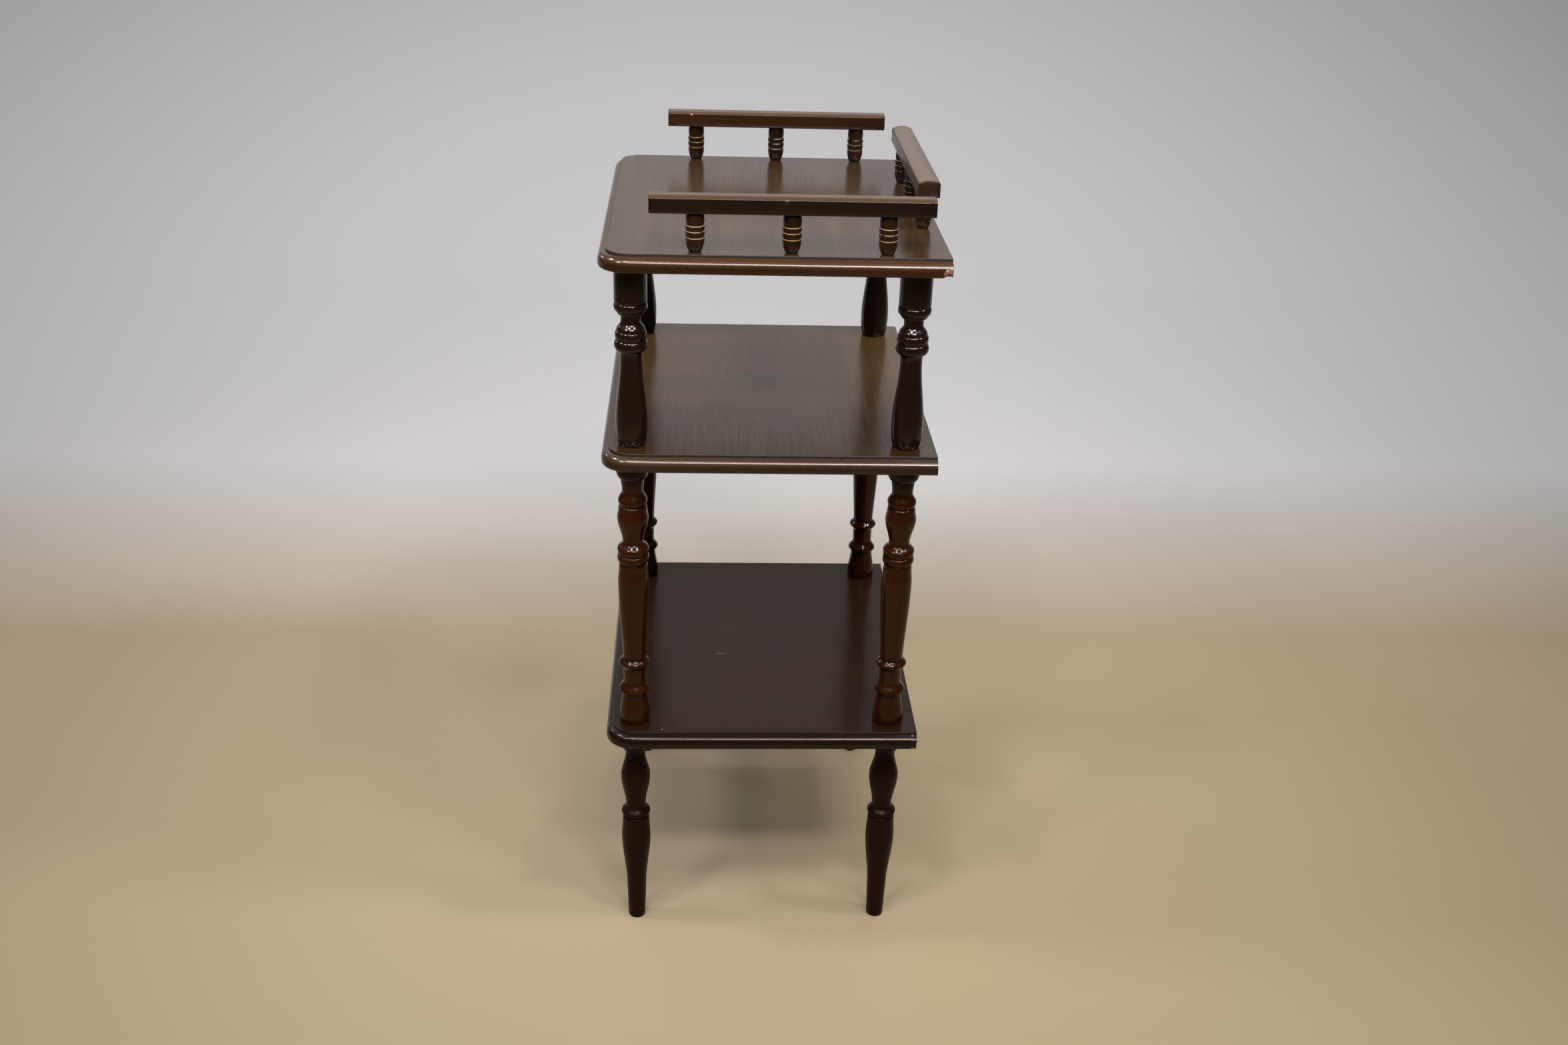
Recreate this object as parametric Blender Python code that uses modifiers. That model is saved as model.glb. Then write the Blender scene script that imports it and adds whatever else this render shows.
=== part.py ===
"""Three-tier etagere in dark stained wood: moulded shelves on turned posts, with a low gallery on top.

The front faces -Y, the right-hand side is +X and the feet stand at Z = 0.
Lengths are in metres.
"""
import math

import bmesh
import bpy

# Shelves. The width and depth are taken over the moulding.
SHELF_WIDTH = 0.3476
SHELF_DEPTH = 0.280
SHELF_THICKNESS = 0.0145
FRONT_CORNER_RADIUS = 0.025

# Moulding on the front and both sides of a shelf: a small step, a quarter round, a narrow upright band
# and an eased lower edge. The round takes the thickness that the others leave.
STEP_DROP = 0.0025
MOULDING_REACH = 0.0065
EDGE_BAND = 0.0025
LOWER_EASE = 0.002

# Clear heights, measured between the faces of the shelves.
LEG_HEIGHT = 0.207
LOWER_BAY_HEIGHT = 0.2562
UPPER_BAY_HEIGHT = 0.1552

# Post axes, measured in from the outside of the shelf.
POST_INSET_SIDE = 0.0303
POST_INSET_FRONT = 0.0255
POST_INSET_BACK = 0.0245

# Gallery: three crowned rails, each on three small spindles.
GALLERY_GAP = 0.0319
RAIL_WIDTH = 0.018
RAIL_SIDE_HEIGHT = 0.0119
RAIL_CROWN = 0.0023
RAIL_INSET_SIDE = 0.0168
RAIL_INSET_BACK = 0.0135

# How far the ends of each rail stop short of the shelf's edges. The right rail is the longest.
RIGHT_RAIL_FRONT_END = 0.041
RIGHT_RAIL_BACK_END = 0.015
LEFT_RAIL_FRONT_END = 0.0505
LEFT_RAIL_BACK_END = 0.0245
BACK_RAIL_SIDE_END = 0.0698

# How far in from the ends of its rail the outer spindles stand.
RIGHT_SPINDLE_INSET = 0.036
LEFT_SPINDLE_INSET = 0.0265
BACK_SPINDLE_INSET = 0.028

# Joinery. Every seat and every hole keeps the same small clearance.
CLEARANCE = 0.0003
STUD_RADIUS = 0.003
STUD_DEPTH = 0.025
STUD_CHAMFER = 0.001
DOWEL_RADIUS = 0.004
DOWEL_DEPTH_IN_POST = 0.015
WOOD_OVER_DOWEL = 0.0052
DOWEL_CHAMFER = 0.001
TENON_RADIUS = 0.003
TENON_LENGTH = 0.006

# Radii that the turnings share.
RING_RADIUS = 0.0138
SWELL_RADIUS = 0.0134
WAIST_RADIUS = 0.0090
COVE_RADIUS = 0.0081
FOOT_RADIUS = 0.0079

# Facets of the round pieces.
POST_SIDES = 12
SPINDLE_SIDES = 8
PIN_SIDES = 8
ARC_STEPS = 2
OGEE_STEPS = 3
SWEEP_STEPS = 4
BARREL_STEPS = 4
ROUND_STEPS = 4
CORNER_STEPS = 8
CROWN_STEPS = 8

# How much of an S curve's half turn a taper makes before it is cut off.
TAPER_TURN = math.radians(144)

# Points closer than this are one point, and faces that meet at more than this angle keep a crisp edge.
MERGE_DISTANCE = 0.00001
SHARP_ANGLE = math.radians(30)

SHELF_NAMES = ("bottom_shelf", "middle_shelf", "top_shelf")

# Heights of the shelf tops, from the floor up.
BOTTOM_TOP = LEG_HEIGHT + SHELF_THICKNESS
MIDDLE_TOP = BOTTOM_TOP + LOWER_BAY_HEIGHT + SHELF_THICKNESS
TOP_TOP = MIDDLE_TOP + UPPER_BAY_HEIGHT + SHELF_THICKNESS
RAIL_BOTTOM = TOP_TOP + GALLERY_GAP

# The four corners where legs and posts stand.
POST_X = SHELF_WIDTH / 2 - POST_INSET_SIDE
POST_FRONT_Y = -SHELF_DEPTH / 2 + POST_INSET_FRONT
POST_BACK_Y = SHELF_DEPTH / 2 - POST_INSET_BACK
CORNERS = {
    "front_left": (-POST_X, POST_FRONT_Y),
    "front_right": (POST_X, POST_FRONT_Y),
    "back_left": (-POST_X, POST_BACK_Y),
    "back_right": (POST_X, POST_BACK_Y),
}

# Gallery rails: length, middle point, whether the rail runs along X, and how far in its outer spindles are.
SIDE_RAIL_X = SHELF_WIDTH / 2 - RAIL_INSET_SIDE
BACK_RAIL_Y = SHELF_DEPTH / 2 - RAIL_INSET_BACK
RIGHT_RAIL_LENGTH = SHELF_DEPTH - RIGHT_RAIL_FRONT_END - RIGHT_RAIL_BACK_END
RIGHT_RAIL_Y = (RIGHT_RAIL_FRONT_END - RIGHT_RAIL_BACK_END) / 2
LEFT_RAIL_LENGTH = SHELF_DEPTH - LEFT_RAIL_FRONT_END - LEFT_RAIL_BACK_END
LEFT_RAIL_Y = (LEFT_RAIL_FRONT_END - LEFT_RAIL_BACK_END) / 2
BACK_RAIL_LENGTH = SHELF_WIDTH - 2 * BACK_RAIL_SIDE_END
RAILS = {
    "right": (RIGHT_RAIL_LENGTH, (SIDE_RAIL_X, RIGHT_RAIL_Y), False, RIGHT_SPINDLE_INSET),
    "left": (LEFT_RAIL_LENGTH, (-SIDE_RAIL_X, LEFT_RAIL_Y), False, LEFT_SPINDLE_INSET),
    "back": (BACK_RAIL_LENGTH, (0.0, BACK_RAIL_Y), True, BACK_SPINDLE_INSET),
}

STUD_HOLE_RADIUS = STUD_RADIUS + CLEARANCE
DOWEL_HOLE_RADIUS = DOWEL_RADIUS + CLEARANCE
TENON_HOLE_RADIUS = TENON_RADIUS + CLEARANCE
DOWEL_DEPTH_IN_SHELF = SHELF_THICKNESS - WOOD_OVER_DOWEL - CLEARANCE

# Finishes: colour, roughness and metallic value.
DARK_WOOD = ((0.036, 0.017, 0.012), 0.22, 0.0)
SHELF_WOOD = ((0.085, 0.040, 0.024), 0.30, 0.0)
RAIL_WOOD = ((0.050, 0.024, 0.016), 0.28, 0.0)
PALE_WOOD = ((0.55, 0.38, 0.22), 0.60, 0.0)
STEEL = ((0.60, 0.60, 0.58), 0.35, 1.0)


# Cuts that a turner makes on the way down a piece. Each takes the last point, the drop and the new radius.

def straight(start, drop, radius):
    """A cylinder, a cone or a flat shoulder."""
    return [(radius, start[1] - drop)]


def quarter(start, drop, radius, bulging):
    """A quarter of an ellipse that bulges outwards or is hollow."""
    growing = radius > start[0]
    points = []
    for i in range(1, ARC_STEPS + 1):
        turn = math.pi / 2 * i / ARC_STEPS
        across, down = 1 - math.cos(turn), math.sin(turn)
        if growing == bulging:
            across, down = math.sin(turn), 1 - math.cos(turn)
        points.append((start[0] + (radius - start[0]) * across, start[1] - drop * down))
    return points


def bulge(start, drop, radius):
    return quarter(start, drop, radius, True)


def hollow(start, drop, radius):
    return quarter(start, drop, radius, False)


def s_curve(start, drop, radius, steps):
    """An S curve that leaves and arrives parallel to the axis."""
    points = []
    for i in range(1, steps + 1):
        part = i / steps
        across = (1 - math.cos(math.pi * part)) / 2
        points.append((start[0] + (radius - start[0]) * across, start[1] - drop * part))
    return points


def ogee(start, drop, radius):
    """A short S curve, like the flare under or over a ring."""
    return s_curve(start, drop, radius, OGEE_STEPS)


def sweep(start, drop, radius):
    """A long S curve, like a vase's side."""
    return s_curve(start, drop, radius, SWEEP_STEPS)


def taper(start, drop, radius):
    """A long S curve that is cut off while it still slopes."""
    points = []
    for i in range(1, SWEEP_STEPS + 1):
        part = i / SWEEP_STEPS
        across = (1 - math.cos(TAPER_TURN * part)) / (1 - math.cos(TAPER_TURN))
        points.append((start[0] + (radius - start[0]) * across, start[1] - drop * part))
    return points


def barrel(start, drop, radius):
    """A side that leaves parallel to the axis and leans in more and more, like a barrel's."""
    points = []
    for i in range(1, BARREL_STEPS + 1):
        part = i / BARREL_STEPS
        points.append((start[0] + (radius - start[0]) * part ** 2, start[1] - drop * part))
    return points


# Turnings, read from the top down: cut, drop, radius at its end.
# The row whose drop is REST takes the height that the others leave.
REST = None

UPPER_POST_TURNING = (
    (straight, 0.0299, SWELL_RADIUS),
    (bulge, 0.0017, 0.0123),
    (bulge, 0.0033, RING_RADIUS),
    (bulge, 0.0039, 0.0113),
    (straight, 0.0006, 0.0113),
    (bulge, 0.0026, 0.0085),
    (hollow, 0.0056, COVE_RADIUS),
    (ogee, 0.0070, 0.0117),
    (bulge, 0.0008, 0.0112),
    (bulge, 0.0039, 0.0131),
    (bulge, 0.0037, 0.0114),
    (bulge, 0.0045, RING_RADIUS),
    (bulge, 0.0046, 0.0109),
    (hollow, 0.0070, WAIST_RADIUS),
    (sweep, REST, SWELL_RADIUS),
    (bulge, 0.0195, 0.0107),
)

LOWER_POST_TURNING = (
    (bulge, 0.0085, RING_RADIUS),
    (bulge, 0.0079, 0.0100),
    (sweep, 0.0119, WAIST_RADIUS),
    (ogee, 0.0083, 0.0124),
    (bulge, 0.0046, 0.0099),
    (bulge, 0.0040, 0.0123),
    (ogee, 0.0075, SWELL_RADIUS),
    (sweep, 0.0232, WAIST_RADIUS),
    (ogee, 0.0068, 0.0136),
    (bulge, 0.0052, 0.0118),
    (bulge, 0.0033, RING_RADIUS),
    (bulge, 0.0046, 0.0111),
    (bulge, 0.0040, 0.0124),
    (sweep, 0.0140, SWELL_RADIUS),
    (taper, REST, 0.0099),
    (ogee, 0.0056, 0.0136),
    (ogee, 0.0062, 0.0098),
    (sweep, 0.0130, 0.0096),
    (ogee, 0.0082, RING_RADIUS),
    (bulge, 0.0022, 0.0108),
    (sweep, 0.0260, RING_RADIUS),
    (bulge, 0.0045, 0.0132),
)

LEG_TURNING = (
    (bulge, 0.0075, RING_RADIUS),
    (bulge, 0.0085, 0.0101),
    (hollow, 0.0060, WAIST_RADIUS),
    (sweep, 0.0240, SWELL_RADIUS),
    (sweep, 0.0330, WAIST_RADIUS),
    (ogee, 0.0066, 0.0133),
    (bulge, 0.0030, 0.0103),
    (straight, 0.0009, 0.0103),
    (bulge, 0.0035, 0.0124),
    (sweep, 0.0200, SWELL_RADIUS),
    (sweep, REST, WAIST_RADIUS),
    (straight, 0.0350, FOOT_RADIUS),
    (bulge, 0.0012, 0.0070),
)

SPINDLE_TURNING = (
    (bulge, 0.0062, 0.0074),
    (bulge, 0.0041, 0.0066),
    (bulge, 0.0023, 0.0077),
    (bulge, 0.0023, 0.0066),
    (bulge, 0.0025, 0.0077),
    (bulge, 0.0026, 0.0067),
    (bulge, 0.0023, 0.0075),
    (barrel, REST, 0.0048),
)

UPPER_POST_TOP_RADIUS = SWELL_RADIUS
LOWER_POST_TOP_RADIUS = 0.0126
LEG_TOP_RADIUS = 0.0126
SPINDLE_TOP_RADIUS = 0.0060


def turned_outline(top_radius, height, cuts):
    """Points (radius, z) down the outside of a turning that stands on z = 0."""
    rest = height - sum(drop for _, drop, _ in cuts if drop is not REST)
    points = [(top_radius, height)]
    for cut, drop, radius in cuts:
        points += cut(points[-1], rest if drop is REST else drop, radius)
    return points


def bored(outline, height, top_bore=None, bottom_bore=None):
    """Close an outline on the axis, with a blind hole (radius, depth) in either end."""
    start = [(0.0, height)]
    if top_bore:
        radius, depth = top_bore
        start = [(0.0, height - depth), (radius, height - depth), (radius, height)]
    end = [(0.0, 0.0)]
    if bottom_bore:
        radius, depth = bottom_bore
        end = [(radius, 0.0), (radius, depth), (0.0, depth)]
    return start + outline + end


def pin_outline(radius, length, chamfer):
    """A round pin with chamfered ends, standing on z = 0."""
    return [
        (0.0, length),
        (radius - chamfer, length),
        (radius, length - chamfer),
        (radius, chamfer),
        (radius - chamfer, 0.0),
        (0.0, 0.0),
    ]


# Scene helpers

def clear_scene():
    for obj in list(bpy.data.objects):
        bpy.data.objects.remove(obj, do_unlink=True)


def new_collection(name):
    collection = bpy.data.collections.new(name)
    bpy.context.scene.collection.children.link(collection)
    return collection


def material(name, colour, roughness, metallic=0.0):
    mat = bpy.data.materials.new(name)
    mat.use_nodes = True
    shader = mat.node_tree.nodes["Principled BSDF"]
    shader.inputs["Base Color"].default_value = (*colour, 1.0)
    shader.inputs["Roughness"].default_value = roughness
    shader.inputs["Metallic"].default_value = metallic
    return mat


def add_piece(name, mesh, finish, location):
    """Link a piece, give it a material of its own and hang it on the frame empty."""
    colour, roughness, metallic = finish
    obj = bpy.data.objects.new(name, mesh)
    PIECES.objects.link(obj)
    mesh.materials.append(material(name, colour, roughness, metallic))
    obj.location = location
    obj.parent = FRAME
    return obj


def turned_piece(name, outline, sides, finish, location):
    """Spin an outline (radius, z), read from the top down, about Z."""
    mesh = bpy.data.meshes.new(name)
    points = [(radius, 0.0, z) for radius, z in outline]
    edges = [(i, i + 1) for i in range(len(points) - 1)]
    mesh.from_pydata(points, edges, [])
    obj = add_piece(name, mesh, finish, location)
    screw = obj.modifiers.new("Spin", "SCREW")
    screw.axis = "Z"
    screw.angle = 2 * math.pi
    screw.steps = sides
    screw.render_steps = sides
    screw.use_merge_vertices = True
    screw.merge_threshold = MERGE_DISTANCE
    screw.use_smooth_shade = True
    return obj


def drill(target, name, holes):
    """Cut round holes (x, y, bottom, top, radius) out of a piece with one Boolean."""
    mesh = bpy.data.meshes.new(name)
    bm = bmesh.new()
    for x, y, bottom, top, radius in holes:
        made = bmesh.ops.create_cone(bm, cap_ends=True, segments=PIN_SIDES, radius1=radius, radius2=radius,
                                     depth=top - bottom)
        bmesh.ops.translate(bm, verts=made["verts"], vec=(x, y, (bottom + top) / 2))
    bm.to_mesh(mesh)
    bm.free()
    cutter = bpy.data.objects.new(name, mesh)
    CUTTERS.objects.link(cutter)
    cutter.hide_render = True
    cutter.display_type = "WIRE"
    cutter.parent = FRAME
    cut = target.modifiers.new("Holes", "BOOLEAN")
    cut.operation = "DIFFERENCE"
    cut.solver = "EXACT"
    cut.object = cutter


# Shelves

def moulding_outline():
    """Points (reach, z) from the edge of the top face down the moulding to the underside."""
    points = [(0.0, 0.0), (0.0, -STEP_DROP)]
    ease_top = -SHELF_THICKNESS + LOWER_EASE
    round_drop = -STEP_DROP - EDGE_BAND - ease_top
    for i in range(1, ROUND_STEPS + 1):
        turn = math.pi / 2 * i / ROUND_STEPS
        points.append((MOULDING_REACH * math.sin(turn), -STEP_DROP - round_drop * (1 - math.cos(turn))))
    for i in range(ARC_STEPS + 1):
        turn = math.pi / 2 * i / ARC_STEPS
        inset = LOWER_EASE * (1 - math.cos(turn))
        points.append((MOULDING_REACH - inset, ease_top - LOWER_EASE * math.sin(turn)))
    return points


def shelf_ring(reach):
    """Plan of a shelf, anticlockwise from the back left, where the moulding reaches out this far."""
    half_width = SHELF_WIDTH / 2 - MOULDING_REACH + reach
    front = -SHELF_DEPTH / 2 + MOULDING_REACH - reach
    back = SHELF_DEPTH / 2
    radius = FRONT_CORNER_RADIUS - MOULDING_REACH + reach
    ring = [(-half_width, back)]
    for side in (-1, 1):
        for i in range(CORNER_STEPS + 1):
            turn = math.pi / 2 * i / CORNER_STEPS
            if side < 0:
                across, along = -math.cos(turn), -math.sin(turn)
            else:
                across, along = math.sin(turn), -math.cos(turn)
            ring.append((side * (half_width - radius) + radius * across, front + radius + radius * along))
    ring.append((half_width, back))
    return ring


def make_shelf(name, top_z):
    """Loft the plan down the moulding, from the top face to the underside."""
    mesh = bpy.data.meshes.new(name)
    bm = bmesh.new()
    rings = [[bm.verts.new((x, y, z)) for x, y in shelf_ring(reach)] for reach, z in moulding_outline()]
    for upper, lower in zip(rings, rings[1:]):
        for i in range(len(upper)):
            j = (i + 1) % len(upper)
            bm.faces.new((upper[i], lower[i], lower[j], upper[j]))
    bm.faces.new(rings[0])
    bm.faces.new(reversed(rings[-1]))
    bm.to_mesh(mesh)
    bm.free()
    mesh.shade_smooth()
    mesh.set_sharp_from_angle(angle=SHARP_ANGLE)
    return add_piece(name, mesh, SHELF_WOOD, (0, 0, top_z))


def stud_holes(top_z):
    """Holes right through a shelf at its four corners."""
    bottom, top = top_z - 2 * SHELF_THICKNESS, top_z + SHELF_THICKNESS
    return [(x, y, bottom, top, STUD_HOLE_RADIUS) for x, y in CORNERS.values()]


def spindle_places():
    """Name and plan position of every gallery spindle, three to a rail."""
    places = {}
    for side, (length, (x, y), along_x, inset) in RAILS.items():
        for number in (1, 2, 3):
            shift = (number - 2) * (length / 2 - inset)
            places[f"gallery_spindle_{side}_{number}"] = (x + shift, y) if along_x else (x, y + shift)
    return places


def make_shelves():
    for name, top_z in zip(SHELF_NAMES, (BOTTOM_TOP, MIDDLE_TOP, TOP_TOP)):
        shelf = make_shelf(name, top_z)
        if name != "top_shelf":
            drill(shelf, name + "_holes", stud_holes(top_z))
            continue
        underside = top_z - SHELF_THICKNESS
        dowel_top = underside + DOWEL_DEPTH_IN_SHELF + CLEARANCE
        below = underside - SHELF_THICKNESS
        holes = [(x, y, below, dowel_top, DOWEL_HOLE_RADIUS) for x, y in CORNERS.values()]
        for x, y in spindle_places().values():
            holes.append((x, y, top_z - TENON_LENGTH, top_z + SHELF_THICKNESS, TENON_HOLE_RADIUS))
        drill(shelf, name + "_holes", holes)


# Legs, posts and what joins them

def make_posts():
    stud_bore = (STUD_HOLE_RADIUS, STUD_DEPTH)
    dowel_bore = (DOWEL_HOLE_RADIUS, DOWEL_DEPTH_IN_POST)
    leg = LEG_HEIGHT - CLEARANCE
    lower = LOWER_BAY_HEIGHT - 2 * CLEARANCE
    upper = UPPER_BAY_HEIGHT - 2 * CLEARANCE
    leg_outline = bored(turned_outline(LEG_TOP_RADIUS, leg, LEG_TURNING), leg, top_bore=stud_bore)
    lower_outline = bored(turned_outline(LOWER_POST_TOP_RADIUS, lower, LOWER_POST_TURNING), lower,
                          top_bore=stud_bore, bottom_bore=stud_bore)
    upper_outline = bored(turned_outline(UPPER_POST_TOP_RADIUS, upper, UPPER_POST_TURNING), upper,
                          top_bore=dowel_bore, bottom_bore=stud_bore)
    levels = (
        ("leg_", leg_outline, 0.0),
        ("lower_post_", lower_outline, BOTTOM_TOP + CLEARANCE),
        ("upper_post_", upper_outline, MIDDLE_TOP + CLEARANCE),
    )
    for corner, (x, y) in CORNERS.items():
        for kind, outline, foot_z in levels:
            turned_piece(kind + corner, outline, POST_SIDES, DARK_WOOD, (x, y, foot_z))


def make_fasteners():
    """Steel studs through the two lower shelves, and wooden dowels up into the top one."""
    stud_length = SHELF_THICKNESS + 2 * STUD_DEPTH
    stud = pin_outline(STUD_RADIUS, stud_length, STUD_CHAMFER)
    dowel_length = DOWEL_DEPTH_IN_POST + DOWEL_DEPTH_IN_SHELF
    dowel = pin_outline(DOWEL_RADIUS, dowel_length, DOWEL_CHAMFER)
    dowel_z = TOP_TOP - SHELF_THICKNESS - DOWEL_DEPTH_IN_POST
    for corner, (x, y) in CORNERS.items():
        for level, top_z in (("bottom", BOTTOM_TOP), ("middle", MIDDLE_TOP)):
            place = (x, y, top_z - SHELF_THICKNESS - STUD_DEPTH)
            turned_piece(f"{level}_stud_{corner}", stud, PIN_SIDES, STEEL, place)
        turned_piece("top_dowel_" + corner, dowel, PIN_SIDES, PALE_WOOD, (x, y, dowel_z))


# Gallery

def make_spindles():
    height = GALLERY_GAP - 2 * CLEARANCE
    body = turned_outline(SPINDLE_TOP_RADIUS, height, SPINDLE_TURNING)
    tenon = TENON_LENGTH
    outline = [(0.0, height + tenon), (TENON_RADIUS, height + tenon), (TENON_RADIUS, height)] + body
    outline += [(TENON_RADIUS, 0.0), (TENON_RADIUS, -tenon), (0.0, -tenon)]
    for name, (x, y) in spindle_places().items():
        turned_piece(name, outline, SPINDLE_SIDES, RAIL_WOOD, (x, y, TOP_TOP + CLEARANCE))


def rail_section():
    """Section of a rail: flat base, straight sides and a gently crowned top."""
    half = RAIL_WIDTH / 2
    points = [(-half, 0.0), (half, 0.0)]
    for i in range(CROWN_STEPS + 1):
        across = half - RAIL_WIDTH * i / CROWN_STEPS
        points.append((across, RAIL_SIDE_HEIGHT + RAIL_CROWN * (1 - (across / half) ** 2)))
    return points


def make_rail(side):
    """Extrude the section as a filled curve, turn it to a mesh and drill it for the spindles."""
    length, (x, y), along_x, _ = RAILS[side]
    name = "gallery_rail_" + side
    curve = bpy.data.curves.new(name, "CURVE")
    curve.dimensions = "2D"
    curve.fill_mode = "BOTH"
    curve.extrude = length / 2
    spline = curve.splines.new("POLY")
    section = rail_section()
    spline.points.add(len(section) - 1)
    for point, (across, up) in zip(spline.points, section):
        point.co = (across, up, 0.0, 1.0)
    spline.use_cyclic_u = True
    guide = bpy.data.objects.new(name + "_curve", curve)
    PIECES.objects.link(guide)
    guide.rotation_euler = (math.pi / 2, 0.0, math.pi / 2 if along_x else 0.0)
    guide.location = (x, y, RAIL_BOTTOM)
    bpy.context.view_layer.update()
    evaluated = guide.evaluated_get(bpy.context.evaluated_depsgraph_get())
    mesh = bpy.data.meshes.new_from_object(evaluated)
    placed = guide.matrix_world.copy()
    bpy.data.objects.remove(guide, do_unlink=True)
    bm = bmesh.new()
    bm.from_mesh(mesh)
    bmesh.ops.remove_doubles(bm, verts=bm.verts, dist=MERGE_DISTANCE)
    bm.to_mesh(mesh)
    bm.free()
    mesh.shade_smooth()
    mesh.set_sharp_from_angle(angle=SHARP_ANGLE)
    rail = add_piece(name, mesh, RAIL_WOOD, (0, 0, 0))
    rail.matrix_world = placed
    holes = []
    for spindle, (spindle_x, spindle_y) in spindle_places().items():
        if side in spindle:
            low, high = RAIL_BOTTOM - RAIL_SIDE_HEIGHT, RAIL_BOTTOM + TENON_LENGTH
            holes.append((spindle_x, spindle_y, low, high, TENON_HOLE_RADIUS))
    drill(rail, name + "_holes", holes)


clear_scene()
PIECES = new_collection("etagere")
CUTTERS = new_collection("etagere_cutters")
FRAME = bpy.data.objects.new("etagere_frame", None)
PIECES.objects.link(FRAME)
make_shelves()
make_posts()
make_fasteners()
make_spindles()
for rail_side in RAILS:
    make_rail(rail_side)
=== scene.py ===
# %% [markdown]
# # A three-tier etagere in dark stained wood
#
# An etagere is a light stand of open shelves. This one has three moulded boards on turned posts, tapered
# turned legs, and a low gallery of small spindles and rails that keeps ornaments from sliding off the top.
# The solid model gives every size. This lesson dresses it: finer turnings, rounder mouldings, stained and
# lacquered wood, and the few places where years of use have chipped the finish.

# %% Load the solid model
import math

import bpy
from mathutils import Matrix, Vector, noise


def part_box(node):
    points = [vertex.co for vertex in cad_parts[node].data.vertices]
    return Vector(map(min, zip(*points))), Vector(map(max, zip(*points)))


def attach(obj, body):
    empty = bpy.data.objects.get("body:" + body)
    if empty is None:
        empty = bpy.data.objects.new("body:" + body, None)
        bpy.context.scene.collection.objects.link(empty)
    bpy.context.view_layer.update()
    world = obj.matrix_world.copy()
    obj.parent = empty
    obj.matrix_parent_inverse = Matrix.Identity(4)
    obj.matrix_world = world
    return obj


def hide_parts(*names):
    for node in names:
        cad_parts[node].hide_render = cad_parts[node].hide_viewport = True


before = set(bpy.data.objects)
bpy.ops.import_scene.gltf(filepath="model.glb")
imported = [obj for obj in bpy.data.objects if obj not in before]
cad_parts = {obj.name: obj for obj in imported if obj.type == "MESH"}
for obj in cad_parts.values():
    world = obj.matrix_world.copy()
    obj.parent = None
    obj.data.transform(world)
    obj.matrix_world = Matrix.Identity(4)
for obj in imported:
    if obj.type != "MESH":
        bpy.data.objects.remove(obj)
scene = bpy.context.scene
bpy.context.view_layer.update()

# %% [markdown]
# ## Sizes
#
# Blender works in metres, and a maker thinks in millimetres, so one small constant turns one into the
# other. The heights of the boards and the places of the posts are read from the solids, so every new piece
# lands exactly on what carries it.

# %% Read the heights and places from the solids
MM = 0.001
CORNERS = ("front_left", "front_right", "back_left", "back_right")

shelf_low, shelf_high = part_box("top_shelf")
SHELF_HALF_WIDTH = shelf_high.x
SHELF_FRONT, SHELF_BACK = shelf_low.y, shelf_high.y
SHELF_TOPS = {name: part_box(name)[1].z for name in ("bottom_shelf", "middle_shelf", "top_shelf")}
print("Board tops in mm:", {name: round(top / MM, 1) for name, top in SHELF_TOPS.items()})

# %% [markdown]
# ## Camera
#
# The photograph was taken from the stand's right-hand side, a little above the top board. The lens, the
# place and the three angles below were worked out from the straight edges of the boards. A camera looks
# along its own -Z axis, so its matrix is built from three directions: right, up and backwards.

# %% Camera
LENS_MM = 37.417
SENSOR_MM = 36.0
CAMERA_PLACE = Vector((1.40406, -0.06028, 1.02549))
YAW, PITCH, ROLL = 0.05964, 0.44742, 0.03336


def make_camera():
    level_forward = Vector((-math.cos(YAW), math.sin(YAW), 0))
    level_right = Vector((math.sin(YAW), math.cos(YAW), 0))
    forward = level_forward * math.cos(PITCH) - Vector((0, 0, math.sin(PITCH)))
    above = level_forward * math.sin(PITCH) + Vector((0, 0, math.cos(PITCH)))
    right = level_right * math.cos(ROLL) + above * math.sin(ROLL)
    up = above * math.cos(ROLL) - level_right * math.sin(ROLL)
    data = bpy.data.cameras.new("camera")
    data.lens, data.sensor_width, data.sensor_fit = LENS_MM, SENSOR_MM, "HORIZONTAL"
    camera = bpy.data.objects.new("camera", data)
    facing = Matrix((right, up, -forward)).transposed().to_4x4()
    camera.matrix_world = Matrix.Translation(CAMERA_PLACE) @ facing
    scene.collection.objects.link(camera)
    scene.camera = camera


make_camera()
print("Camera height in mm:", round(CAMERA_PLACE.z / MM))
print("Looking down by", round(math.degrees(PITCH), 1), "degrees")

# %% [markdown]
# ## Three helpers for materials
#
# Colours are picked as sRGB hex values, the way a paint chart gives them. A renderer adds light, so
# it needs linear values, and one function does that conversion. The second helper adds a shader node: its
# own settings go in as keywords, and its inputs are either plain values or the outputs of earlier nodes.
# The third starts a material with an empty node tree.

# %% Helpers for colours and nodes


def linear(colour):
    """sRGB hex, such as #6b3f22, as linear red, green, blue and alpha."""
    values = [int(colour[i:i + 2], 16) / 255 for i in (1, 3, 5)]
    return (*[v / 12.92 if v <= 0.04045 else ((v + 0.055) / 1.055) ** 2.4 for v in values], 1.0)


def add_node(tree, kind, inputs=None, **settings):
    """Add a node. Inputs are values, or outputs of other nodes to link."""
    made = tree.nodes.new("ShaderNode" + kind)
    for name, value in settings.items():
        setattr(made, name, value)
    for name, value in (inputs or {}).items():
        if isinstance(value, bpy.types.NodeSocket):
            tree.links.new(value, made.inputs[name])
        else:
            made.inputs[name].default_value = value
    return made


def new_material(name):
    """A material with an empty node tree."""
    made = bpy.data.materials.new(name)
    made.use_nodes = True
    made.node_tree.nodes.clear()
    return made, made.node_tree


print("Mid brown #6b3f22 is linear", [round(v, 3) for v in linear("#6b3f22")[:3]])

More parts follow.
